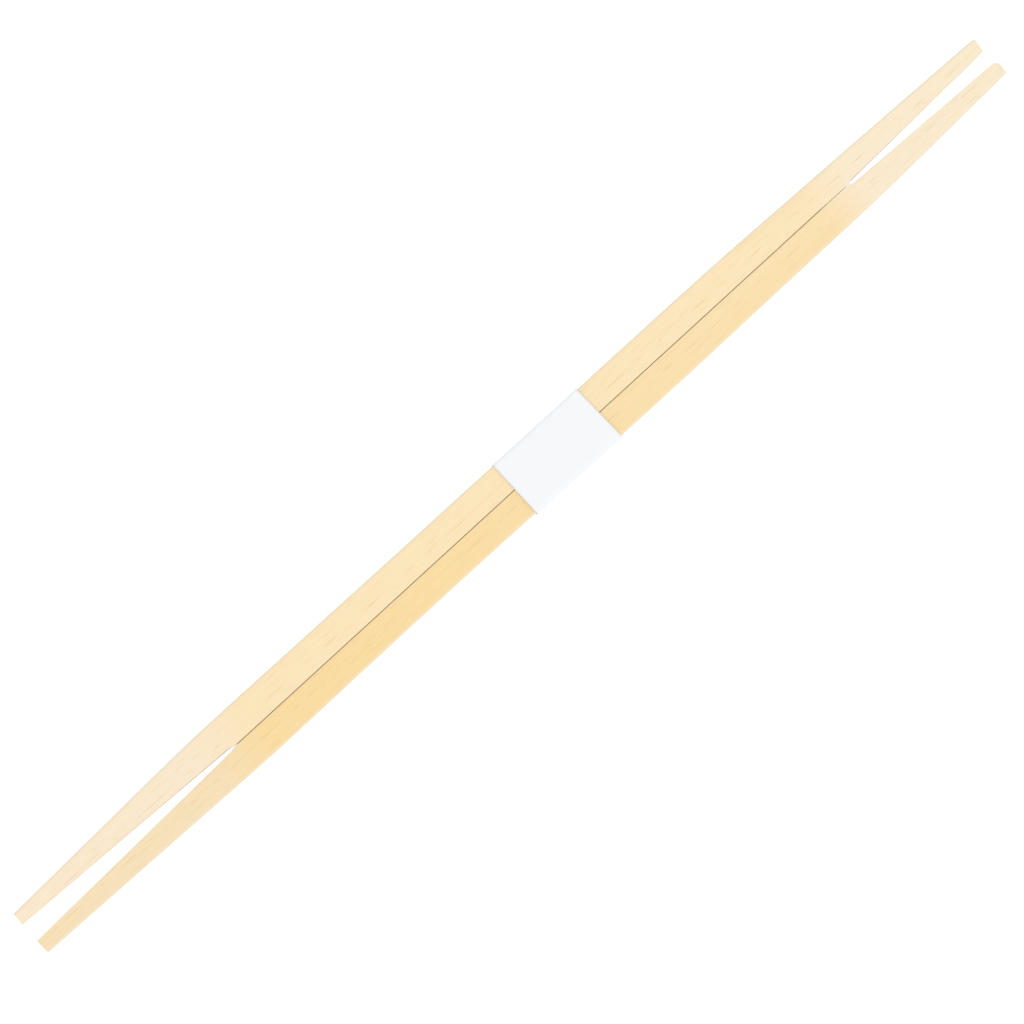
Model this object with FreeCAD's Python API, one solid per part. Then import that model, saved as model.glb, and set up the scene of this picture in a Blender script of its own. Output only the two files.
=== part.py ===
import FreeCAD, Part
import math
import os
from collections import namedtuple
from FreeCAD import Vector

# A pair of bamboo chopsticks, tapered at both ends, held together by a glued paper band.
# Millimetres. +X runs along the sticks and +Z is up. The pair lies flat, as on a table.
# The origin is under the middle of the pair, on the surface that it rests on.

# Both sticks
LENGTH = 240.0
THICKNESS = 4.6
TIP_THICKNESS = 2.6
FACE_TAPER_LEFT = 50.0  # length of the slopes on the upper and lower face
FACE_TAPER_RIGHT = 38.0
SHOULDER_RADIUS = 500.0  # where a slope runs into the straight middle
INNER_TAPER_LEFT = 51.5  # length of the slopes that open the gap between the tips
INNER_TAPER_RIGHT = 37.0
ENTRY_LENGTH = 2.0  # the gap opens with a short step, where the cutter went in
ENTRY_RADIUS = 4.0  # rounding of that step, at its top and at its foot
OUTER_ARRIS = 0.6  # rounding of the two long edges away from the seam
INNER_ARRIS = 0.15  # rounding of the two long edges along the seam
END_EASE = 0.1  # rounding all round each end face
SEAM_GAP = 0.05  # between the two faces that lie side by side

# The back stick, on the +Y side. A flank is one of its two long sides, seen from above.
# Its taper is the length that is planed, and its planed depth is what is gone at the tip.
# The entry of an inner flank is the depth of the short step that its taper starts with.
BACK_WIDTH_LEFT = 6.25
BACK_WIDTH_RIGHT = 5.8
BACK_OUTER_TAPER_LEFT = 45.0
BACK_OUTER_PLANED_LEFT = 1.45
BACK_INNER_ENTRY_LEFT = 0.4
BACK_INNER_PLANED_LEFT = 2.1
BACK_OUTER_TAPER_RIGHT = 63.0
BACK_OUTER_PLANED_RIGHT = 1.6
BACK_INNER_ENTRY_RIGHT = 0.25
BACK_INNER_PLANED_RIGHT = 1.25
BACK_SLANT_LEFT = 0.2  # how much further out the end's inner corner stands than its outer one
BACK_SLANT_RIGHT = -0.4
BACK_SHORT_RIGHT = 0.4  # how far the right end stops short of the front stick's
BACK_WORN_CORNER = 0.7  # radius of the right end's outer corner

# The front stick, on the -Y side
FRONT_WIDTH_LEFT = 5.75
FRONT_WIDTH_RIGHT = 5.85
FRONT_OUTER_TAPER_LEFT = 54.0
FRONT_OUTER_PLANED_LEFT = 1.05
FRONT_INNER_ENTRY_LEFT = 0.3
FRONT_INNER_PLANED_LEFT = 1.75
FRONT_OUTER_TAPER_RIGHT = 34.0
FRONT_OUTER_PLANED_RIGHT = 1.4
FRONT_INNER_ENTRY_RIGHT = 0.5
FRONT_INNER_PLANED_RIGHT = 1.55
FRONT_SLANT_LEFT = 0.0
FRONT_SLANT_RIGHT = 0.3
FRONT_WORN_CORNER = 0.8  # cut off the right end's inner corner

# The paper band
BAND_WIDTH = 21.0
BAND_CENTRE_X = 10.8
PAPER = 0.1
BAND_CLEARANCE = 0.05
LAP_WIDTH = 7.0  # where the strip's end is glued over its start, underneath
LAP_OFF_SEAM = 1.5  # from the seam to the middle of the lap, towards the front stick

Flank = namedtuple("Flank", "taper planed entry")
Stick = namedtuple(
    "Stick",
    "side width_left width_right outer_left inner_left outer_right inner_right "
    "slant_left slant_right short_right",
)
Corner = namedtuple("Corner", "a b radius")

back_stick = Stick(
    side=1,
    width_left=BACK_WIDTH_LEFT,
    width_right=BACK_WIDTH_RIGHT,
    outer_left=Flank(BACK_OUTER_TAPER_LEFT, BACK_OUTER_PLANED_LEFT, 0),
    inner_left=Flank(INNER_TAPER_LEFT, BACK_INNER_PLANED_LEFT, BACK_INNER_ENTRY_LEFT),
    outer_right=Flank(BACK_OUTER_TAPER_RIGHT, BACK_OUTER_PLANED_RIGHT, 0),
    inner_right=Flank(INNER_TAPER_RIGHT, BACK_INNER_PLANED_RIGHT, BACK_INNER_ENTRY_RIGHT),
    slant_left=BACK_SLANT_LEFT,
    slant_right=BACK_SLANT_RIGHT,
    short_right=BACK_SHORT_RIGHT,
)
front_stick = Stick(
    side=-1,
    width_left=FRONT_WIDTH_LEFT,
    width_right=FRONT_WIDTH_RIGHT,
    outer_left=Flank(FRONT_OUTER_TAPER_LEFT, FRONT_OUTER_PLANED_LEFT, 0),
    inner_left=Flank(INNER_TAPER_LEFT, FRONT_INNER_PLANED_LEFT, FRONT_INNER_ENTRY_LEFT),
    outer_right=Flank(FRONT_OUTER_TAPER_RIGHT, FRONT_OUTER_PLANED_RIGHT, 0),
    inner_right=Flank(INNER_TAPER_RIGHT, FRONT_INNER_PLANED_RIGHT, FRONT_INNER_ENTRY_RIGHT),
    slant_left=FRONT_SLANT_LEFT,
    slant_right=FRONT_SLANT_RIGHT,
    short_right=0.0,
)

# Places that follow from the sizes
TIP = LENGTH / 2
BAND_LEFT = BAND_CENTRE_X - BAND_WIDTH / 2
STICK_BOTTOM = 2 * PAPER + BAND_CLEARANCE
STICK_TOP = STICK_BOTTOM + THICKNESS
OVERSHOOT = 1.0  # how far a cutting outline runs past the stick


def outer_face(stick, x):
    """The distance of the stick's outer face from its seam face, on the straight middle."""
    start = -TIP + stick.outer_left.taper
    end = TIP - stick.outer_right.taper
    share = (x - start) / (end - start)
    return stick.width_left + (stick.width_right - stick.width_left) * share


def band_reach(stick):
    """How far the band's inside stands off the seam on the stick's side."""
    widest = max(outer_face(stick, BAND_LEFT), outer_face(stick, BAND_LEFT + BAND_WIDTH))
    return SEAM_GAP / 2 + widest + BAND_CLEARANCE


SEAM_Y = (band_reach(front_stick) - band_reach(back_stick)) / 2


def rounded_wire(corners, place):
    """A closed wire through the corners, each one turned by an arc of its radius."""
    pieces = []
    for i, corner in enumerate(corners):
        point = Vector(corner.a, corner.b, 0)
        before = corners[i - 1]
        after = corners[(i + 1) % len(corners)]
        backward = (Vector(before.a, before.b, 0) - point).normalize()
        forward = (Vector(after.a, after.b, 0) - point).normalize()
        turn = math.pi - backward.getAngle(forward)
        reach = corner.radius * math.tan(turn / 2)
        inward = (backward + forward).normalize()
        sagitta = corner.radius / math.cos(turn / 2) - corner.radius
        pieces.append((point + backward * reach, point + inward * sagitta, point + forward * reach))
    edges = []
    for i, (start, middle, end) in enumerate(pieces):
        if corners[i].radius > 0:
            edges.append(Part.Arc(place(start), place(middle), place(end)).toShape())
        edges.append(Part.LineSegment(place(end), place(pieces[(i + 1) % len(pieces)][0])).toShape())
    return Part.Wire(edges)


def cut_corner(before, corner, after, size):
    """Two corners in place of one, each the given distance from it along its side."""
    point = Vector(corner.a, corner.b, 0)
    backward = (Vector(before.a, before.b, 0) - point).normalize()
    forward = (Vector(after.a, after.b, 0) - point).normalize()
    first = point + backward * size
    second = point + forward * size
    return [Corner(first.x, first.y, 0), Corner(second.x, second.y, 0)]


def plan_outline(stick):
    """The stick seen from above, along the inner flank first and round to the inner left corner."""
    gap_left = -TIP + stick.inner_left.taper
    gap_right = TIP - stick.inner_right.taper
    inner_left_foot = Corner(gap_left - ENTRY_LENGTH, stick.inner_left.entry, ENTRY_RADIUS)
    inner_left_shoulder = Corner(gap_left, 0, ENTRY_RADIUS)
    inner_right_shoulder = Corner(gap_right, 0, ENTRY_RADIUS)
    inner_right_foot = Corner(gap_right + ENTRY_LENGTH, stick.inner_right.entry, ENTRY_RADIUS)
    right = TIP - stick.short_right
    inner_right = Corner(right + min(stick.slant_right, 0), stick.inner_right.planed, 0)
    outer_right_y = stick.width_right - stick.outer_right.planed
    outer_right = Corner(right - max(stick.slant_right, 0), outer_right_y, 0)
    outer_right_shoulder = Corner(TIP - stick.outer_right.taper, stick.width_right, SHOULDER_RADIUS)
    outer_left_shoulder = Corner(-TIP + stick.outer_left.taper, stick.width_left, SHOULDER_RADIUS)
    outer_left = Corner(-TIP + max(stick.slant_left, 0), stick.width_left - stick.outer_left.planed, 0)
    inner_left = Corner(-TIP - min(stick.slant_left, 0), stick.inner_left.planed, 0)
    if stick is back_stick:
        right_end = [inner_right, outer_right._replace(radius=BACK_WORN_CORNER)]
    else:
        right_end = cut_corner(inner_right_foot, inner_right, outer_right, FRONT_WORN_CORNER)
        right_end.append(outer_right)
    return (
        [inner_left_foot, inner_left_shoulder, inner_right_shoulder, inner_right_foot]
        + right_end
        + [outer_right_shoulder, outer_left_shoulder, outer_left, inner_left]
    )


def side_outline():
    """Either stick seen from the side. It runs past both ends, which the plan cuts."""
    planed = (THICKNESS - TIP_THICKNESS) / 2
    end = TIP + OVERSHOOT
    left_planed = planed * (1 + OVERSHOOT / FACE_TAPER_LEFT)
    right_planed = planed * (1 + OVERSHOOT / FACE_TAPER_RIGHT)
    left = -TIP + FACE_TAPER_LEFT
    right = TIP - FACE_TAPER_RIGHT
    return [
        Corner(left, STICK_BOTTOM, SHOULDER_RADIUS),
        Corner(right, STICK_BOTTOM, SHOULDER_RADIUS),
        Corner(end, STICK_BOTTOM + right_planed, 0),
        Corner(end, STICK_TOP - right_planed, 0),
        Corner(right, STICK_TOP, SHOULDER_RADIUS),
        Corner(left, STICK_TOP, SHOULDER_RADIUS),
        Corner(-end, STICK_TOP - left_planed, 0),
        Corner(-end, STICK_BOTTOM + left_planed, 0),
    ]


def middle_normal(face):
    u_low, u_high, v_low, v_high = face.ParameterRange
    return face.normalAt((u_low + u_high) / 2, (v_low + v_high) / 2)


def long_edges(solid, outer, centre_y, side):
    """The edges between a flank and the upper or lower face, on the outer or the inner side."""
    found = []
    for edge in solid.Edges:
        normals = [middle_normal(face) for face in solid.ancestorsOfType(edge, Part.Face)]
        beside_flank = any(abs(normal.y) > 0.9 for normal in normals)
        beside_face = any(abs(normal.z) > 0.9 for normal in normals)
        if beside_flank and beside_face and ((edge.CenterOfMass.y - centre_y) * side > 0) == outer:
            found.append(edge)
    return found


def end_edges(solid):
    """The edges all round the two end faces."""
    found = []
    for face in solid.Faces:
        if abs(middle_normal(face).x) > 0.6:
            found += [edge for edge in face.Edges if not any(edge.isSame(other) for other in found)]
    return found


def make_stick(stick):
    """Planed to its outline from above and from the side, then eased along every edge."""
    seam_face = SEAM_Y + stick.side * SEAM_GAP / 2
    width = max(stick.width_left, stick.width_right)

    def on_plan(point):
        return Vector(point.x, seam_face + stick.side * point.y, STICK_BOTTOM - OVERSHOOT)

    def on_side(point):
        return Vector(point.x, seam_face - stick.side * OVERSHOOT, point.y)

    plan = Part.Face(rounded_wire(plan_outline(stick), on_plan))
    side = Part.Face(rounded_wire(side_outline(), on_side))
    upright = plan.extrude(Vector(0, 0, THICKNESS + 2 * OVERSHOOT))
    across = side.extrude(Vector(0, stick.side * (width + 2 * OVERSHOOT), 0))
    blank = upright.common(across).Solids[0]
    centre_y = seam_face + stick.side * width / 2
    rounded = blank.makeFillet(OUTER_ARRIS, long_edges(blank, True, centre_y, stick.side))
    inner_edges = long_edges(rounded, False, centre_y, stick.side)
    rounded = rounded.makeFillet(INNER_ARRIS, inner_edges)
    return rounded.makeFillet(END_EASE, end_edges(rounded)).Solids[0]


def band_tube(low_y, high_y, low_z, high_z, radius):
    """A bar along X with rounded long edges, as wide as the band."""
    corners = [
        Corner(low_y, low_z, radius),
        Corner(high_y, low_z, radius),
        Corner(high_y, high_z, radius),
        Corner(low_y, high_z, radius),
    ]
    section = Part.Face(rounded_wire(corners, lambda point: Vector(BAND_LEFT, point.x, point.y)))
    return section.extrude(Vector(BAND_WIDTH, 0, 0))


def make_band():
    """One strip folded round both sticks, its end glued over its start on the underside."""
    low_y = SEAM_Y - band_reach(front_stick)
    high_y = SEAM_Y + band_reach(back_stick)
    low_z = STICK_BOTTOM - BAND_CLEARANCE
    high_z = STICK_TOP + BAND_CLEARANCE
    fold = OUTER_ARRIS + BAND_CLEARANCE
    outside = band_tube(low_y - PAPER, high_y + PAPER, low_z - PAPER, high_z + PAPER, fold + PAPER)
    inside = band_tube(low_y, high_y, low_z, high_z, fold)
    loop = outside.cut(inside)
    lap_start = SEAM_Y - LAP_OFF_SEAM - LAP_WIDTH / 2
    lap = Part.makeBox(BAND_WIDTH, LAP_WIDTH, PAPER, Vector(BAND_LEFT, lap_start, low_z - 2 * PAPER))
    return loop.fuse(lap).removeSplitter().Solids[0]


os.makedirs("parts", exist_ok=True)
pieces = {
    "back_chopstick": make_stick(back_stick),
    "front_chopstick": make_stick(front_stick),
    "paper_band": make_band(),
}
for name, piece in pieces.items():
    piece.exportStep("parts/" + name + ".step")
    box = piece.BoundBox
    print(name, "valid", piece.isValid(), "solids", len(piece.Solids), "volume", round(piece.Volume, 2))
    print("  x", round(box.XMin, 3), round(box.XMax, 3), "y", round(box.YMin, 3), round(box.YMax, 3))
    print("  z", round(box.ZMin, 3), round(box.ZMax, 3))
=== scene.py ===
# %% [markdown]
# # A pair of bamboo chopsticks in a paper band
#
# The object is three pieces: two sticks planed out of bamboo, thinner at both ends, and a strip of
# white paper glued round them. The solids that carry the sizes are loaded first, as a fixed frame.
# Everything made here is fitted to them: they give the places, and Blender gives the looks.

# %% Load the frame
import math

import bmesh
import bpy
from mathutils import Matrix, Vector, noise


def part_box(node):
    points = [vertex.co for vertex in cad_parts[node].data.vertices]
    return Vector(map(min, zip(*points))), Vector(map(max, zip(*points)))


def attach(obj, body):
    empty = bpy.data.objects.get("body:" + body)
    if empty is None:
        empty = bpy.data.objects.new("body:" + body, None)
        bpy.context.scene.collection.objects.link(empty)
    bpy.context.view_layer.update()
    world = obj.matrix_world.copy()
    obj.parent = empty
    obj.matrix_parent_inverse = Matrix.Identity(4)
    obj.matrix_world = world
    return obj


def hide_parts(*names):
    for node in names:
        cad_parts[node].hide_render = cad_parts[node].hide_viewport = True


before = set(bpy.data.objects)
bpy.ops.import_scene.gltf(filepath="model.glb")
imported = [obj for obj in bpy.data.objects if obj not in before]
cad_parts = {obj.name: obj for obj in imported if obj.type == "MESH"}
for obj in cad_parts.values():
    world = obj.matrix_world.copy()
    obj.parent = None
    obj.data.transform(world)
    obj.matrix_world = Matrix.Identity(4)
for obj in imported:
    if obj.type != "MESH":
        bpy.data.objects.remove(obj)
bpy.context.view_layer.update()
print("nodes:", sorted(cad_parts))

# %% [markdown]
# ## Working in millimetres
#
# Blender's unit here is the metre, but a chopstick is easier to think about in millimetres. So each
# mesh is shaped in millimetres and scaled down as its very last step. The boxes of the solids are
# turned into millimetres too, and the lengths, heights and faces below are read from them.

# %% Read the sizes from the frame
MM = 0.001


def box_mm(node):
    low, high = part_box(node)
    return Vector(low) / MM, Vector(high) / MM


back_low, back_high = box_mm("back_chopstick")
front_low, front_high = box_mm("front_chopstick")
band_low, band_high = box_mm("paper_band")
TIP = -back_low.x
BOTTOM = back_low.z
THICKNESS = back_high.z - back_low.z
BAND_LEFT = band_low.x
BAND_WIDTH = band_high.x - band_low.x
SEAM_GAP = back_low.y - front_high.y
SEAM_Y = (back_low.y + front_high.y) / 2
print("sticks:", round(2 * TIP, 1), "mm long,", round(THICKNESS, 2), "mm thick")
print("seam at y =", round(SEAM_Y, 3), "mm, between the sticks' nearest points:", round(SEAM_GAP, 3), "mm")

# %% [markdown]
# ## The camera
#
# The photograph was taken from almost straight above, with a long lens. The camera leans by a few
# hundredths only: towards the lower left ends, which are a touch larger than the upper right ones, and
# less towards the front, so that hardly any side wall shows. A rotation is three directions. The way
# back to the camera comes first. The sticks' direction as the camera sees it, turned back by the angle
# that they have in the picture, gives the picture's right, and with it all three columns.

# %% Make the camera
PHOTO_SIDE = 1024.0
PIXELS_PER_MM = 5.445
STICKS_LEAN = math.radians(42.487)
LEAN_ALONG = 0.0354
LEAN_ACROSS = 0.015
CAMERA_DISTANCE = 700.0
AIM = Vector((-2.88, -2.77, 4.85))
SENSOR = 36.0
NEAREST_SEEN = 0.01

UP = Vector((0, 0, 1))
TO_FRONT = Vector((0, -1, 0))
to_camera = Vector((-LEAN_ALONG, -LEAN_ACROSS, 1)).normalized()
sticks = Vector((1, 0, 0))
sticks_seen = (sticks - to_camera * sticks.dot(to_camera)).normalized()
across_seen = to_camera.cross(sticks_seen)
photo_right = sticks_seen * math.cos(STICKS_LEAN) - across_seen * math.sin(STICKS_LEAN)
photo_up = sticks_seen * math.sin(STICKS_LEAN) + across_seen * math.cos(STICKS_LEAN)

lens = bpy.data.cameras.new("photo_camera")
lens.sensor_width = SENSOR
lens.lens = PIXELS_PER_MM * CAMERA_DISTANCE * SENSOR / PHOTO_SIDE
lens.clip_start = NEAREST_SEEN
camera = bpy.data.objects.new("photo_camera", lens)
camera.matrix_world = Matrix((photo_right, photo_up, to_camera)).transposed().to_4x4()
camera.location = (AIM + to_camera * CAMERA_DISTANCE) * MM
bpy.context.collection.objects.link(camera)
bpy.context.scene.camera = camera
bpy.context.scene.view_settings.view_transform = "Standard"
print("lens:", round(lens.lens), "mm, camera", [round(side, 3) for side in camera.location], "m")

# %% [markdown]
# ## Shader sums as plain Python
#
# A material is a web of nodes, and a sum such as 1 - mask takes a node of its own. The small class
# below wraps one output of a node, so that the ordinary signs for plus, minus and times, and abs(), add
# the Math nodes. One method makes every other node: it sets the node's own settings first and then
# fills its sockets with values or links.


# %% The material helper
class Signal:
    """One output of a node. Arithmetic on it adds Math nodes."""

    def __init__(self, finish, socket):
        self.finish = finish
        self.socket = socket

    def math(self, operation, *values):
        """Adds a Math node that does the operation on the values."""
        return self.finish.node("ShaderNodeMath", {"operation": operation}, dict(enumerate(values)))

    def __add__(self, other):
        return self.math("ADD", self, other)

    def __radd__(self, other):
        return self.math("ADD", other, self)

    def __sub__(self, other):
        return self.math("SUBTRACT", self, other)

    def __rsub__(self, other):
        return self.math("SUBTRACT", other, self)

    def __mul__(self, other):
        return self.math("MULTIPLY", self, other)

    def __rmul__(self, other):
        return self.math("MULTIPLY", other, self)

    def __abs__(self):
        return self.math("ABSOLUTE", self)


class Finish:
    """A material in the making, with one Principled shader."""

    def __init__(self, name):
        self.material = bpy.data.materials.new(name)
        self.material.use_nodes = True
        self.tree = self.material.node_tree
        self.shader = self.tree.nodes["Principled BSDF"]

    def node(self, kind, settings=None, inputs=None, output=0):
        """Adds a node with its settings, fills its inputs and gives one of its outputs."""
        made = self.tree.nodes.new(kind)
        for name, value in (settings or {}).items():
            setattr(made, name, value)
        for key, value in (inputs or {}).items():
            self.feed(made.inputs[key], value)
        return Signal(self, made.outputs[output])

    def feed(self, socket, value):
        """Links a signal to the socket, or sets it to a plain value."""
        if isinstance(value, Signal):
            self.tree.links.new(value.socket, socket)
        else:
            socket.default_value = value

    def set(self, **sockets):
        """Fills sockets of the Principled shader. An underscore stands for a space in the name."""
        for name, value in sockets.items():
            self.feed(self.shader.inputs[name.replace("_", " ")], value)

    def coordinates(self, output):
        """The x and the y of the point or of its normal, each as a number."""
        found = self.node("ShaderNodeTexCoord", output=output)
        return [self.node("ShaderNodeSeparateXYZ", inputs={0: found}, output=axis) for axis in (0, 1)]

    def stretched(self, length, width, shift=0.0):
        """The place on the piece, with one unit as long and as wide as the pattern's marks in mm."""
        place = self.node("ShaderNodeTexCoord", output="Object")
        across = 1 / (width * MM)
        along = 1 / (length * MM)
        settings = {"vector_type": "POINT"}
        inputs = {"Vector": place, "Scale": (along, across, across), "Location": (shift, shift, shift)}
        return self.node("ShaderNodeMapping", settings, inputs)

    def clouds(self, length, width, shift=0.0, detail=2.0):
        """Soft noise from 0 to 1, drawn out along the piece."""
        inputs = {"Vector": self.stretched(length, width, shift), "Scale": 1.0, "Detail": detail}
        return self.node("ShaderNodeTexNoise", inputs=inputs)

    def step(self, value, low, high):
        """0 below low, 1 above high, and a smooth rise between them."""
        settings = {"interpolation_type": "SMOOTHSTEP"}
        inputs = {"Value": value, "From Min": low, "From Max": high}
        return self.node("ShaderNodeMapRange", settings, inputs)

    def fade(self, distance, low, high):
        """The same rise, between two distances in millimetres."""
        return self.step(distance, low * MM, high * MM)

    def blend(self, first, second, factor):
        """The first colour where the factor is 0 and the second where it is 1."""
        settings = {"data_type": "RGBA"}
        return self.node("ShaderNodeMix", settings, {0: factor, 6: first, 7: second}, 2)

    def relief(self, height, depth):
        """A normal that makes the height look that deep, in millimetres."""
        inputs = {"Height": height, "Distance": depth * MM, "Strength": 1.0}
        return self.node("ShaderNodeBump", inputs=inputs)


def shade(red, green, blue):
    """A colour as read on a screen, from 0 to 255, as the linear colour that a shader takes."""
    levels = [level / 255 for level in (red, green, blue)]
    linear = [((level + 0.055) / 1.055) ** 2.4 for level in levels]
    return (*linear, 1.0)


print("a screen white of 250 is", round(shade(250, 250, 250)[0], 3), "to the shader")

# %% [markdown]
# ## Light and floor
#
# The picture has the flat, bright light of a product photograph. A pale world lights the sticks
# evenly from all round, and one large soft lamp stands high over the photograph's lower right: it
# keeps the edges on its own side light and leaves those on the far side a little darker. The two add up
# to a level at which a colour shows as it is written. The background is white by itself and not by more
# light: what the camera sees of the world is white, and the floor glows for the camera only, while
# the sticks still throw their soft shadow on it.

# %% Make the light and the floor
AMBIENT = 0.89
SEEN_WHITE = 1.0
LAMP_SHARE = 0.12
LAMP_DISTANCE = 1.1
LAMP_SIZE = 0.5
LAMP_HEIGHT = math.radians(60)
FLOOR_SIZE = 8.0
FLOOR_GREY = 0.9
FLOOR_GLOW = 0.86

world = bpy.data.worlds.new("white_room")
world.use_nodes = True
bpy.context.scene.world = world
sky = world.node_tree
paths = sky.nodes.new("ShaderNodeLightPath")
seen = paths.outputs["Is Camera Ray"]
for kind in ("Is Glossy Ray", "Is Transmission Ray"):
    either = sky.nodes.new("ShaderNodeMath")
    either.operation = "MAXIMUM"
    sky.links.new(seen, either.inputs[0])
    sky.links.new(paths.outputs[kind], either.inputs[1])
    seen = either.outputs[0]
strength = sky.nodes.new("ShaderNodeMapRange")
strength.inputs["To Min"].default_value = AMBIENT
strength.inputs["To Max"].default_value = SEEN_WHITE
sky.links.new(seen, strength.inputs["Value"])
background = sky.nodes["Background"]
background.inputs["Color"].default_value = (1, 1, 1, 1)
sky.links.new(strength.outputs[0], background.inputs["Strength"])

to_lamp = TO_FRONT * math.cos(LAMP_HEIGHT) + UP * math.sin(LAMP_HEIGHT)
lamp = bpy.data.lights.new("soft_lamp", "AREA")
lamp.shape = "DISK"
lamp.size = LAMP_SIZE
# The power at which the lamp alone shows a level white surface at LAMP_SHARE of full white.
lamp.energy = LAMP_SHARE * math.pi**2 * LAMP_DISTANCE**2 / math.sin(LAMP_HEIGHT)
lamp_object = bpy.data.objects.new("soft_lamp", lamp)
lamp_object.location = to_lamp * LAMP_DISTANCE
lamp_object.rotation_mode = "QUATERNION"
lamp_object.rotation_quaternion = to_lamp.to_track_quat("Z", "Y")
lamp_object.visible_camera = False
bpy.context.collection.objects.link(lamp_object)

floor_finish = Finish("pale_floor")
floor_finish.set(Base_Color=(FLOOR_GREY, FLOOR_GREY, FLOOR_GREY, 1), Roughness=1.0)
floor_finish.set(Specular_IOR_Level=0.0)
seen_floor = floor_finish.node("ShaderNodeLightPath", output="Is Camera Ray")
floor_finish.set(Emission_Color=(1, 1, 1, 1), Emission_Strength=seen_floor * FLOOR_GLOW)
sheet = bmesh.new()
bmesh.ops.create_grid(sheet, x_segments=1, y_segments=1, size=FLOOR_SIZE / 2)
floor_mesh = bpy.data.meshes.new("floor")
sheet.to_mesh(floor_mesh)
sheet.free()
floor_mesh.materials.append(floor_finish.material)
floor = bpy.data.objects.new("floor", floor_mesh)
bpy.context.collection.objects.link(floor)
print("lamp:", round(lamp.energy, 2), "W")

# %% [markdown]
# ## Planing a stick, in numbers
#
# A real stick starts as a straight square-edged strip. A planer then takes a long thin wedge off each
# side at each end, deepest at the tip. Where the wedge meets the straight middle there is no corner
# but a slow bend. A slope of a few hundredths, joined to a flat by a large arc, is all the maths that
# a wedge needs. On the inner sides, which open the gap between the tips, the cutter went in more
# steeply: there the slope starts with a short step. Each stick has its own four cuts as seen from
# above, and two that both share as seen from the side.

# %% The wedges that the planer takes off
SHOULDER_RADIUS = 500.0
TIP_THICKNESS = 2.6
FACE_TAPER_LEFT = 50.0
FACE_TAPER_RIGHT = 38.0
INNER_TAPER_LEFT = 51.5
INNER_TAPER_RIGHT = 37.0
ENTRY_LENGTH = 2.0
OUTER_ARRIS = 0.6
INNER_ARRIS = 0.15
END_EASE = 0.1


def wedge(distance_past_shoulder, taper, planed):
    """How much is planed off, at a distance past the shoulder, for a wedge that long and that deep."""
    slope = planed / taper
    bend = SHOULDER_RADIUS * slope / 2
    if distance_past_shoulder <= -bend:
        return 0.0
    if distance_past_shoulder < bend:
        return (distance_past_shoulder + bend) ** 2 / (2 * SHOULDER_RADIUS)
    return slope * distance_past_shoulder


def ramp(value, start, end):
    """0 at the start and before it, 1 at the end and past it, with a smooth rise."""
    share = min(max((value - start) / (end - start), 0.0), 1.0)
    return share * share * (3 - 2 * share)


def stepped_cut(distance_past_start, taper, entry, planed):
    """The same for an inner cut: a short step down to the entry depth, and a slope from there."""
    if distance_past_start < ENTRY_LENGTH:
        return entry * ramp(distance_past_start, 0, ENTRY_LENGTH)
    return entry + (planed - entry) * (distance_past_start - ENTRY_LENGTH) / (taper - ENTRY_LENGTH)


class Stick:
    """One stick's sizes in millimetres. An outer flank is (length of its taper, depth planed at the
    tip) and an inner one is (depth of its entry step, depth planed at the tip)."""

    def __init__(self, side, widths, outer_left, inner_left, outer_right, inner_right, seed):
        self.side = side
        self.width_left, self.width_right = widths
        self.outer_left = outer_left
        self.inner_left = inner_left
        self.outer_right = outer_right
        self.inner_right = inner_right
        self.seed = seed
        self.width = max(widths)

    def outer(self, x):
        """The outer flank's distance from the seam face."""
        left = -TIP + self.outer_left[0]
        right = TIP - self.outer_right[0]
        share = min(max((x - left) / (right - left), 0.0), 1.0)
        straight = self.width_left + (self.width_right - self.width_left) * share
        return straight - wedge(left - x, *self.outer_left) - wedge(x - right, *self.outer_right)

    def inner(self, x):
        """The inner flank's distance from the seam face."""
        left = stepped_cut(-TIP + INNER_TAPER_LEFT - x, INNER_TAPER_LEFT, *self.inner_left)
        right = stepped_cut(x - TIP + INNER_TAPER_RIGHT, INNER_TAPER_RIGHT, *self.inner_right)
        return left + right

    def under(self, x):
        """How far the lower face stands above the lowest point, and the upper face below the highest."""
        planed = (THICKNESS - TIP_THICKNESS) / 2
        left = wedge(-TIP + FACE_TAPER_LEFT - x, FACE_TAPER_LEFT, planed)
        return left + wedge(x - TIP + FACE_TAPER_RIGHT, FACE_TAPER_RIGHT, planed)


back_stick = Stick(
    side=1,
    widths=(6.25, 5.8),
    outer_left=(45.0, 1.45),
    inner_left=(0.4, 2.1),
    outer_right=(63.0, 1.6),
    inner_right=(0.25, 1.25),
    seed=3,
)
front_stick = Stick(
    side=-1,
    widths=(5.75, 5.85),
    outer_left=(54.0, 1.05),
    inner_left=(0.3, 1.75),
    outer_right=(34.0, 1.4),
    inner_right=(0.5, 1.55),
    seed=8,
)
for stick in (back_stick, front_stick):
    tips = [round(stick.outer(end) - stick.inner(end), 2) for end in (-TIP, TIP)]
    print("tips", tips, "mm wide, middle", round(stick.outer(0), 2), "mm")

# %% [markdown]
# ## The blank
#
# The blank is a cube stretched to a bar. A bevel rounds its four long edges: generously on the outer
# side, where the fingers go, and only a little along the seam. A second bevel eases the rim of both
# end faces. Cuts along the bar and rings across it then give the mesh enough points to carry the
# taper and the relief of the fibres. Cutting with operators keeps every face a tidy four-sided one.

# %% Cut a blank
RINGS = 480
COLUMN = 0.22
OUTER_STEPS = 5
INNER_STEPS = 3
END_STEPS = 2
TOUCHING = 1e-4


def everything(bm):
    """All of a mesh, as the cutting operators want it."""
    return bm.verts[:] + bm.edges[:] + bm.faces[:]


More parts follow.
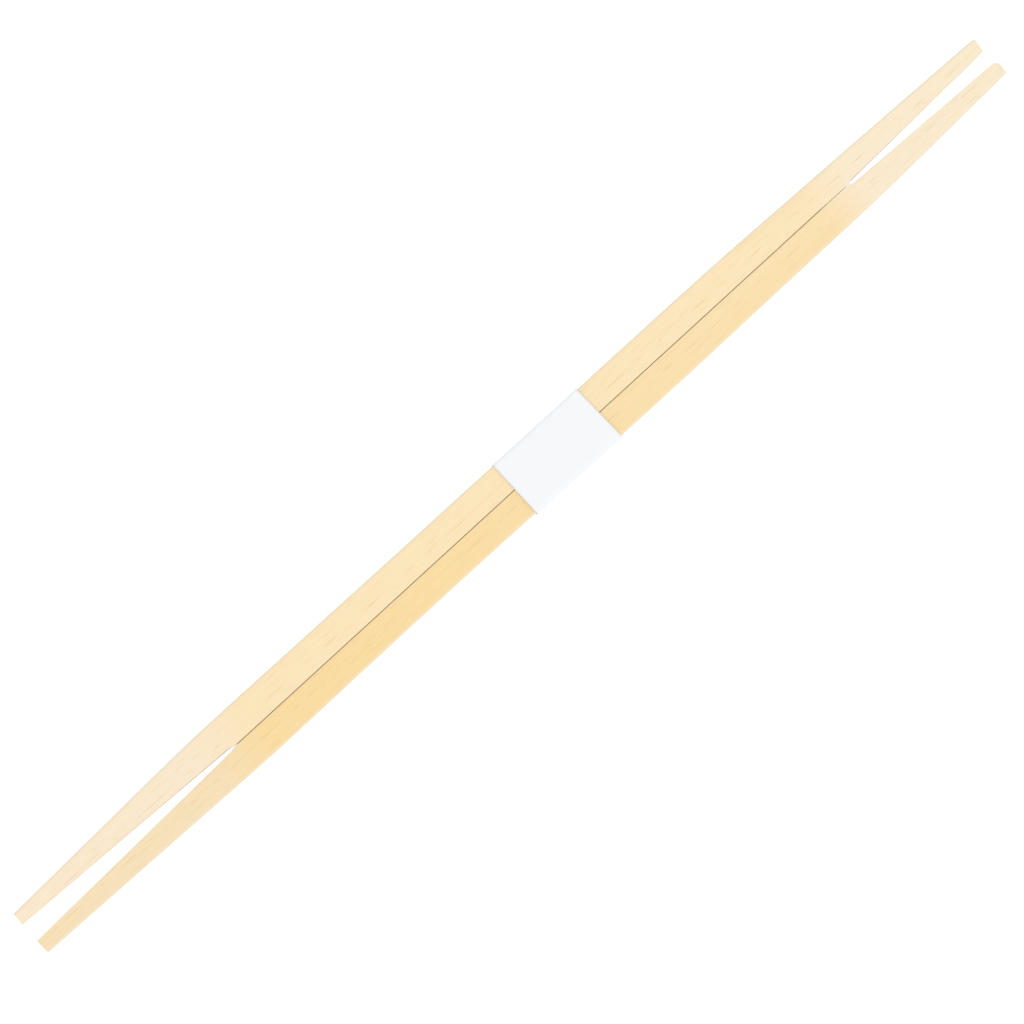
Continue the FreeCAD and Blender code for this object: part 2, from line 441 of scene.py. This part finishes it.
def cut_between(bm, axis, low, high):
    """Cuts the bar lengthwise, from low to high along the axis, into columns of about one width."""
    count = round((high - low) / COLUMN)
    normal = Vector((0, 0, 0))
    normal[axis] = 1
    for i in range(count + 1):
        place = normal * (low + (high - low) * i / count)
        bmesh.ops.bisect_plane(bm, geom=everything(bm), dist=TOUCHING / 10, plane_co=place, plane_no=normal)


def at_corner(edge, side_y):
    """Whether the edge runs along the bar where the side at that y meets the top or the bottom."""
    y, z = edge.verts[0].co.yz
    at_side = abs(y - side_y) < TOUCHING
    return edge.calc_length() > TIP and at_side and min(z, THICKNESS - z) < TOUCHING


def make_blank(width):
    """A bar with eased edges, from y = 0 at the seam to its width, with points all along it."""
    bm = bmesh.new()
    bmesh.ops.create_cube(bm, size=1.0)
    bmesh.ops.scale(bm, vec=(2 * TIP, width, THICKNESS), verts=bm.verts)
    bmesh.ops.translate(bm, vec=(0, width / 2, THICKNESS / 2), verts=bm.verts)
    for side_y, radius, segments in ((width, OUTER_ARRIS, OUTER_STEPS), (0.0, INNER_ARRIS, INNER_STEPS)):
        corners = [edge for edge in bm.edges if at_corner(edge, side_y)]
        bmesh.ops.bevel(
            bm, geom=corners, offset=radius, segments=segments, profile=0.5, affect="EDGES", material=-1
        )
    rims = [edge for edge in bm.edges if edge.calc_length() < TIP]
    bmesh.ops.bevel(
        bm, geom=rims, offset=END_EASE, segments=END_STEPS, profile=0.5, affect="EDGES", material=-1
    )
    cut_between(bm, 1, INNER_ARRIS, width - OUTER_ARRIS)
    cut_between(bm, 2, OUTER_ARRIS, THICKNESS - OUTER_ARRIS)
    along = [edge for edge in bm.edges if edge.calc_length() > TIP]
    bmesh.ops.subdivide_edges(bm, edges=along, cuts=RINGS - 1, use_grid_fill=True)
    return bm


trial = make_blank(back_stick.width)
four_sided = sum(len(face.verts) == 4 for face in trial.faces)
print("blank:", len(trial.faces), "faces,", four_sided, "of them four-sided")
trial.free()

# %% [markdown]
# ## From blank to stick
#
# Every point of the blank is now moved to where the planer would leave it. Points on a rounded edge
# are shifted and never squeezed, so that the rounding keeps its size down to the tip, and only the
# flat between two edges gets narrower. The end faces aren't cut quite square, and each stick has one
# worn corner at its right end, so the last few millimetres are drawn back to that line.

# %% Plane the blank
END_ZONE = 3.0  # the stretch that follows the shape of the end line
WAVE = 0.07
WAVE_LENGTH = 45.0
CALM_BESIDE_BAND = 6.0
LONG_WAVE = 0.12
LONG_WAVE_CREST = 30.0
LONG_WAVE_LENGTH = 100.0
FIBRE_RELIEF = 0.012
FIBRE_LENGTH = 22.0
FIBRE_WIDTH = 0.5
PLANER_RELIEF = 0.015
PLANER_LENGTH = 14.0
PLANER_WIDTH = 2.5
CALM_AT_SEAM = 0.5
RELIEF_AT_SEAM = 0.3
BACK_SLANT_LEFT = 0.2
BACK_SHORT_RIGHT = 0.4
BACK_SLANT_RIGHT = 0.4
FRONT_SLANT_RIGHT = 0.3
ROUND_CORNER = 0.7
CUT_CORNER = 0.8


def long_wave(x):
    """The front stick's outer flank isn't planed quite straight. It runs in a slow wave, and to the
    left of the wave's second crest it stays full. The band bulges with it."""
    from_crest = max(x - LONG_WAVE_CREST, -LONG_WAVE_LENGTH)
    return LONG_WAVE * math.cos(math.tau * from_crest / LONG_WAVE_LENGTH)


def between_edges(value, size, low_edge, high_edge, low, high):
    """Moves 0..size to low..high. The rounded edges keep their width, and the flat takes the rest."""
    if value <= low_edge:
        return low + value
    if value >= size - high_edge:
        return high - (size - value)
    share = (value - low_edge) / (size - low_edge - high_edge)
    return low + low_edge + share * (high - low - low_edge - high_edge)


def back_ends(from_inner, from_outer):
    """How far the back stick's left and right ends are drawn back. One corner is worn round."""
    width = from_inner + from_outer
    left = BACK_SLANT_LEFT * from_inner / width
    right = BACK_SHORT_RIGHT + BACK_SLANT_RIGHT * from_outer / width
    if from_outer < ROUND_CORNER:
        right += ROUND_CORNER - math.sqrt(max(ROUND_CORNER**2 - (ROUND_CORNER - from_outer) ** 2, 0.0))
    return left, right


def front_ends(from_inner, from_outer):
    """How far the front stick's left and right ends are drawn back. One corner is cut off."""
    width = from_inner + from_outer
    return 0.0, FRONT_SLANT_RIGHT * from_inner / width + max(CUT_CORNER - from_inner, 0.0)


def plane_stick(bm, stick, drawn_back):
    """Gives the blank its tapers, its slow waves and its end lines."""
    for vert in bm.verts:
        x, y, z = vert.co
        from_band = abs(x - BAND_LEFT - BAND_WIDTH / 2) - BAND_WIDTH / 2
        wave = WAVE * noise.noise(Vector((x / WAVE_LENGTH, stick.seed, 0.5)))
        wave *= ramp(from_band, 0, CALM_BESIDE_BAND)
        if stick is front_stick:
            wave += long_wave(x)
        inner = stick.inner(x)
        outer = stick.outer(x) + wave
        under = stick.under(x)
        vert.co.y = between_edges(y, stick.width, INNER_ARRIS, OUTER_ARRIS, inner, outer)
        vert.co.z = between_edges(z, THICKNESS, OUTER_ARRIS, OUTER_ARRIS, under, THICKNESS - under)
        left, right = drawn_back(max(vert.co.y - inner, 0.0), max(outer - vert.co.y, 0.0))
        vert.co.x += left * max(-x - TIP + END_ZONE, 0.0) / END_ZONE
        vert.co.x -= right * max(x - TIP + END_ZONE, 0.0) / END_ZONE


def raise_fibres(bm, stick):
    """Fine ridges along the fibres, and a little unevenness from the planer, both less at the seam."""
    bm.normal_update()
    for vert in bm.verts:
        x, y, z = vert.co
        fibre = noise.noise(Vector((x / FIBRE_LENGTH, y / FIBRE_WIDTH + stick.seed, z / FIBRE_WIDTH)))
        slow = noise.noise(Vector((x / PLANER_LENGTH, y / PLANER_WIDTH, z / PLANER_WIDTH + stick.seed)))
        away = min(abs(y - stick.inner(x)) / CALM_AT_SEAM, 1.0)
        share = RELIEF_AT_SEAM + (1 - RELIEF_AT_SEAM) * away
        vert.co += vert.normal * share * (FIBRE_RELIEF * fibre + PLANER_RELIEF * slow)


def piece_from(bm, name):
    """Makes a smooth piece, in metres, of a mesh that was shaped in millimetres."""
    bmesh.ops.scale(bm, vec=(MM, MM, MM), verts=bm.verts)
    for face in bm.faces:
        face.smooth = True
    mesh = bpy.data.meshes.new(name)
    bm.to_mesh(mesh)
    bm.free()
    piece = bpy.data.objects.new(name, mesh)
    bpy.context.collection.objects.link(piece)
    print(name, len(mesh.polygons), "faces")
    return piece


def make_stick(name, stick, drawn_back):
    """Planes a blank and moves it to its own side of the seam."""
    bm = make_blank(stick.width)
    plane_stick(bm, stick, drawn_back)
    raise_fibres(bm, stick)
    bmesh.ops.scale(bm, vec=(1, stick.side, 1), verts=bm.verts)
    bmesh.ops.translate(bm, vec=(0, SEAM_Y + stick.side * SEAM_GAP / 2, BOTTOM), verts=bm.verts)
    bmesh.ops.recalc_face_normals(bm, faces=bm.faces)
    return piece_from(bm, name)


back_piece = make_stick("back_chopstick_bamboo", back_stick, back_ends)
front_piece = make_stick("front_chopstick_bamboo", front_stick, front_ends)

# %% [markdown]
# ## The paper band
#
# The band is one strip of paper. It starts underneath, goes once round both sticks and ends with a
# glued lap over its own start. So it is made the same way: a flat grid of the strip's real size,
# whose points are then laid along the path round the sticks. A point's distance along the strip is
# its distance along the path, so the paper neither stretches nor shrinks.

# %% Fold the band
PAPER = 0.1
LAP_WIDTH = 7.0
LAP_OFF_SEAM = 1.5
PAPER_GAP = 0.05
BAND_RADIUS = OUTER_ARRIS + PAPER_GAP + PAPER / 2
BAND_COLUMNS = 44
BAND_STEP = 0.16
RAMP_FROM = 1.0
RAMP_TO = 0.1
CROWN = 0.04
CROWN_REACH = 6.0
SAG = 0.03
SAG_REACH = 0.7
FRONT_BULGE = 0.03
FRONT_BULGE_GROWS = 0.2
BACK_BULGE = -0.02
BACK_BULGE_GROWS = -0.06
LOOSE_EDGE = 0.05
LOOSE_LENGTH = 4.0
LOOSE_WIDTH = 2.5
RIPPLE = 0.02
RIPPLE_LENGTH = 6.0
RIPPLE_WIDTH = 3.0
ASKEW = 0.025

path_low_y = band_low.y + PAPER / 2
path_high_y = band_high.y - PAPER / 2
path_low_z = band_low.z + 1.5 * PAPER
path_high_z = band_high.z - PAPER / 2
lap_start = SEAM_Y - LAP_OFF_SEAM - LAP_WIDTH / 2


def path_legs():
    """The path as straight legs, each (start, direction, length), with a quarter turn after each."""
    radius = BAND_RADIUS
    side = path_high_z - path_low_z - 2 * radius
    top = path_high_y - path_low_y - 2 * radius
    first = path_high_y - radius - lap_start
    last = lap_start + LAP_WIDTH - path_low_y - radius
    return [
        (Vector((lap_start, path_low_z)), Vector((1, 0)), first),
        (Vector((path_high_y, path_low_z + radius)), Vector((0, 1)), side),
        (Vector((path_high_y - radius, path_high_z)), Vector((-1, 0)), top),
        (Vector((path_low_y, path_high_z - radius)), Vector((0, -1)), side),
        (Vector((path_low_y + radius, path_low_z)), Vector((1, 0)), last),
    ]


LEGS = path_legs()
QUARTER = BAND_RADIUS * math.pi / 2
STRIP_LENGTH = sum(length for start, direction, length in LEGS) + 4 * QUARTER


def on_path(distance):
    """The point on the path at a distance from its start, and the way out from the sticks."""
    for i, (start, direction, length) in enumerate(LEGS):
        outward = Vector((direction.y, -direction.x))
        if distance <= length or i == len(LEGS) - 1:
            return start + direction * distance, outward
        distance -= length
        if distance <= QUARTER:
            angle = distance / BAND_RADIUS
            centre = start + direction * length - outward * BAND_RADIUS
            out = outward * math.cos(angle) + direction * math.sin(angle)
            return centre + out * BAND_RADIUS, out
        distance -= QUARTER


def band_lift(x, y, z, out):
    """How far the paper stands off the path: a soft crown, a sag at the seam, sides that follow the
    sticks, and loose edges."""
    from_middle = abs(x) / (BAND_WIDTH / 2)
    from_seam = abs(y - SEAM_Y)
    upward = max(out.y, 0.0)
    crown = CROWN * upward**4 * (1 - (min(from_seam, CROWN_REACH) / CROWN_REACH) ** 2)
    sag = -SAG * upward**8 * math.exp(-((from_seam / SAG_REACH) ** 2))
    rightward = 0.5 + x / BAND_WIDTH
    front_side = FRONT_BULGE + FRONT_BULGE_GROWS * rightward
    back_side = BACK_BULGE + BACK_BULGE_GROWS * rightward
    side_bulge = front_side * max(-out.x, 0.0) ** 2 + back_side * max(out.x, 0.0) ** 2
    patch = noise.noise(Vector((x / LOOSE_LENGTH, y / LOOSE_WIDTH, z / LOOSE_WIDTH)))
    loose = LOOSE_EDGE * from_middle**6 * (0.5 + patch)
    ripple = RIPPLE * noise.noise(Vector((x / RIPPLE_LENGTH, y / RIPPLE_WIDTH, z / RIPPLE_WIDTH + 4)))
    return crown + sag + (side_bulge + loose + ripple) * min(upward + abs(out.x), 1.0)


def make_band(name):
    """Lays a flat strip along the path, gives it the paper's thickness and sets it on its lap."""
    bm = bmesh.new()
    steps = round(STRIP_LENGTH / BAND_STEP)
    bmesh.ops.create_grid(bm, x_segments=BAND_COLUMNS, y_segments=steps, size=0.5)
    lap_from = STRIP_LENGTH - LAP_WIDTH
    for vert in bm.verts:
        across = vert.co.x * BAND_WIDTH
        distance = (vert.co.y + 0.5) * STRIP_LENGTH
        point, out = on_path(distance)
        under_lap = PAPER * ramp(distance, lap_from - RAMP_FROM, lap_from - RAMP_TO)
        point = point + out * (under_lap + band_lift(across, point.x, point.y, out))
        askew = -ASKEW * (0.5 + vert.co.x) * (point.x - SEAM_Y)
        vert.co = Vector((BAND_LEFT + BAND_WIDTH / 2 + across + askew, point.x, point.y))
    bmesh.ops.recalc_face_normals(bm, faces=bm.faces)
    bmesh.ops.solidify(bm, geom=bm.faces[:], thickness=PAPER)
    bmesh.ops.recalc_face_normals(bm, faces=bm.faces)
    heights = [vert.co.z for vert in bm.verts]
    bmesh.ops.translate(bm, vec=(0, 0, band_low.z - min(heights)), verts=bm.verts)
    return piece_from(bm, name)


band_piece = make_band("paper_band_strip")
print("strip:", round(BAND_WIDTH, 1), "x", round(STRIP_LENGTH, 1), "mm")

# %% [markdown]
# ## Bamboo
#
# Bamboo has no rings and no rays. Its wood is a pale ground with stiff fibre bundles running straight
# through it from end to end, so every mark is long, thin and parallel to the stick. The colour is
# built in layers: a cream and a richer tone that drift into each other, fine streaks, and short
# dashes where the planer cut a bundle at a slant. All of them are noise drawn out along X. The planed
# tips are paler. The side walls carry painted light: a paler, greyer colour that stands in for the
# bright light washing them out, more on the front-facing sides than on the back-facing ones. A thin
# brown line of painted shade runs along the seam, for the shadow in the slit between the sticks, and
# fades out before the right-hand gap. One row of dashes shows where a larger bundle runs just under the
# surface. On the end faces the bundles are cut across and show as dots.

# %% Make the bamboo
CREAM = shade(251, 229, 187)
RICH = shade(249, 219, 159)
FIBRE = shade(222, 182, 120)
LIGHT_FIBRE = shade(255, 241, 214)
# Painted light: the washed-out colour of the brightly lit side walls.
PAINTED_SIDE_LIGHT = shade(240, 230, 212)
# Painted shade: the dark brown of the shadow in the slit between the two sticks.
PAINTED_SEAM_SHADOW = shade(188, 144, 84)
END_GROUND = shade(240, 216, 172)
END_DOT = shade(205, 164, 110)

STRAIGHT_END = 80.0
LEFT_TIP_FADE = (62.0, 78.0)
RIGHT_TIP_FADE = (74.0, 88.0)
BUNDLE_LINE = (0.05, 0.13)
BUNDLE_WANDER = 0.6
# The width of the painted seam shadow, and where it fades out towards the right-hand tips.
SEAM_LINE = (0.04, 0.15)
SEAM_LINE_END = (76.0, 79.0)
SOLID_ACROSS = 400
FIBRE_DEPTH = 0.02


def bamboo(name, tones, left_tip, right_tip, bundle_at, seed):
    """Bamboo cut along its fibres. The tones say how rich it is at the left and the right end of the
    straight middle, from 0 to 1. The bundle is a row of dashes, in millimetres from y = 0."""
    wood = Finish(name)
    x, y = wood.coordinates("Object")
    facing_end, facing_back = wood.coordinates("Normal")
    large = wood.clouds(length=45, width=2.4, shift=seed)
    small = wood.clouds(length=12, width=1.1, shift=seed + 2)
    drift = large * 0.4 + small * 0.2 - 0.3
    rich = wood.fade(x, -STRAIGHT_END, STRAIGHT_END) * (tones[1] - tones[0]) + tones[0]
    body = wood.blend(CREAM, RICH, wood.step(drift + rich, 0.0, 1.0))
    body = wood.blend(body, left_tip, wood.fade(0.0 - x, *LEFT_TIP_FADE))
    body = wood.blend(body, right_tip, wood.fade(x, *RIGHT_TIP_FADE))
    streak = wood.clouds(length=28, width=0.4, shift=seed + 4, detail=3.0)
    body = wood.blend(body, FIBRE, wood.step(streak, 0.5, 0.8) * 0.14)
    dash = wood.step(wood.clouds(length=5, width=0.16, shift=seed + 6, detail=1.0), 0.66, 0.74)
    body = wood.blend(body, FIBRE, dash * 0.28)
    fleck = wood.step(wood.clouds(length=4, width=0.15, shift=seed + 9, detail=1.0), 0.64, 0.74)
    body = wood.blend(body, LIGHT_FIBRE, fleck * 0.35)
    wander = wood.clouds(length=30, width=SOLID_ACROSS, shift=seed + 11, detail=0.0) - 0.5
    off_bundle = abs(y - bundle_at * MM + wander * (BUNDLE_WANDER * MM))
    pieces = wood.clouds(length=5, width=SOLID_ACROSS, shift=seed + 13)
    bundle = (1.0 - wood.fade(off_bundle, *BUNDLE_LINE)) * wood.step(pieces, 0.48, 0.6)
    body = wood.blend(body, FIBRE, bundle * 0.4)
    # Painted light and shade on the side walls, by the way they face: the front-facing sides take more of
    # the paler colour, and the back-facing ones less, which leaves them a little darker.
    pale = wood.step(0.0 - facing_back, 0.1, 0.7) * 0.65 + wood.step(facing_back, 0.2, 0.8) * 0.55
    body = wood.blend(body, PAINTED_SIDE_LIGHT, pale)
    # Painted shade: a thin brown line along the seam, where the slit between the sticks lies in shadow,
    # faded out before the right-hand gap.
    painted_seam_shadow_mask = 1.0 - wood.fade(abs(y - SEAM_Y * MM), *SEAM_LINE)
    short_of_tips = 1.0 - wood.fade(x, *SEAM_LINE_END)
    body = wood.blend(body, PAINTED_SEAM_SHADOW, painted_seam_shadow_mask * short_of_tips * 0.7)
    dots = wood.step(wood.clouds(length=0.32, width=0.32, shift=seed + 15, detail=0.0), 0.56, 0.68)
    end_grain = wood.blend(END_GROUND, END_DOT, dots)
    body = wood.blend(body, end_grain, wood.step(abs(facing_end), 0.6, 0.85) * 0.8)
    wood.set(Base_Color=body, Roughness=0.52 + streak * 0.15)
    wood.set(Normal=wood.relief(streak - dash * 0.4, FIBRE_DEPTH))
    wood.set(Specular_IOR_Level=0.35)
    return wood.material


back_bamboo = bamboo(
    "pale_bamboo",
    tones=(0.12, 0.06),
    left_tip=shade(250, 232, 203),
    right_tip=shade(251, 234, 204),
    bundle_at=2.2,
    seed=3.0,
)
front_bamboo = bamboo(
    "rich_bamboo",
    tones=(0.95, 0.48),
    left_tip=shade(246, 224, 184),
    right_tip=shade(250, 233, 204),
    bundle_at=-2.5,
    seed=17.0,
)
back_piece.data.materials.append(back_bamboo)
front_piece.data.materials.append(front_bamboo)
print("bamboo:", back_bamboo.name, "and", front_bamboo.name)

# %% [markdown]
# ## Paper
#
# The band is plain, uncoated, bright white paper. White paper is never one flat white: its fibres
# clump into faint clouds, and its surface has a tooth that only shows close up.

# %% Make the paper
WHITE = shade(247, 249, 251)
CLOUD = shade(244, 246, 248)
TOOTH_DEPTH = 0.01


def paper(name):
    """Uncoated white paper."""
    sheet_of = Finish(name)
    clumps = sheet_of.clouds(length=1.2, width=1.2, shift=5.0, detail=3.0)
    tooth = sheet_of.clouds(length=0.12, width=0.12, shift=2.0, detail=2.0)
    sheet_of.set(Base_Color=sheet_of.blend(WHITE, CLOUD, clumps))
    sheet_of.set(Roughness=0.8 + tooth * 0.1, Normal=sheet_of.relief(tooth, TOOTH_DEPTH))
    sheet_of.set(Specular_IOR_Level=0.3)
    return sheet_of.material


band_piece.data.materials.append(paper("white_paper"))

# %% [markdown]
# ## Hand the pieces over
#
# Each piece stands for the solid of the same name and rides with the one body that the object has.

# %% Tie the pieces to the frame
for piece, node, slot in (
    (back_piece, "back_chopstick", "bamboo"),
    (front_piece, "front_chopstick", "bamboo"),
    (band_piece, "paper_band", "white_paper"),
):
    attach(piece, "root")
    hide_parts(node)
STRIP_LENGTH * MM
